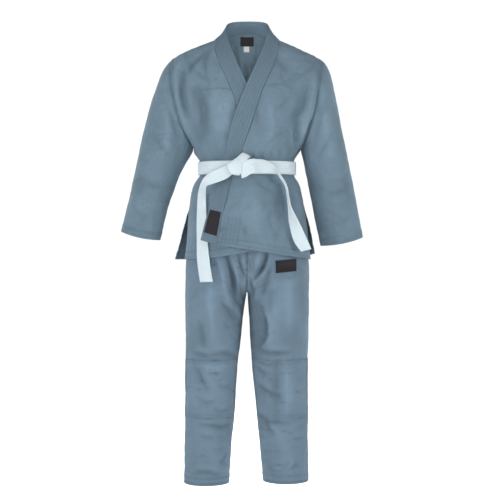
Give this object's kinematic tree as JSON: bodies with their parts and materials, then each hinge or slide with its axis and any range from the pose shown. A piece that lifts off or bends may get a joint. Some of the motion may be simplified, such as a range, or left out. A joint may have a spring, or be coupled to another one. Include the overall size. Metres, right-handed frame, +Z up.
{
  "type": "jiu-jitsu gi with belt",
  "caption": "Worn, hollow martial arts uniform: wrap jacket with a broad collar band, knotted cotton belt with hanging tails, and straight trousers with knee patches.",
  "frame": {"origin": "between the shoulders, at the height of the neck's sides, where the wearer's shoulders hold it", "axes": "+Z up, -Y out of the chest, +X towards the wearer's left"},
  "size_m": [0.751, 0.2907, 1.45],
  "materials": {
    "gi_cotton": "woven cotton, matt",
    "trouser_drill": "cotton drill, matt",
    "belt_cotton": "stitched cotton, matt",
    "label_dark": "woven label, plain",
    "size_tag_white": "satin tape"
  },
  "bodies": {
    "root": {"jacket_back": "gi_cotton", "jacket_front_over": "gi_cotton", "jacket_front_under": "gi_cotton", "sleeve_left": "gi_cotton", "sleeve_right": "gi_cotton", "collar_band": "gi_cotton", "belt_wraps": "belt_cotton", "belt_knot": "belt_cotton", "belt_tail_right": "belt_cotton", "belt_tail_left": "belt_cotton", "trouser_leg_left": "trouser_drill", "trouser_leg_right": "trouser_drill", "trouser_waistband": "trouser_drill", "knee_patch_left": "trouser_drill", "knee_patch_right": "trouser_drill", "neck_label": "label_dark", "size_tag": "size_tag_white", "lapel_patch": "label_dark", "thigh_patch": "label_dark"}
  },
  "joints": []
}
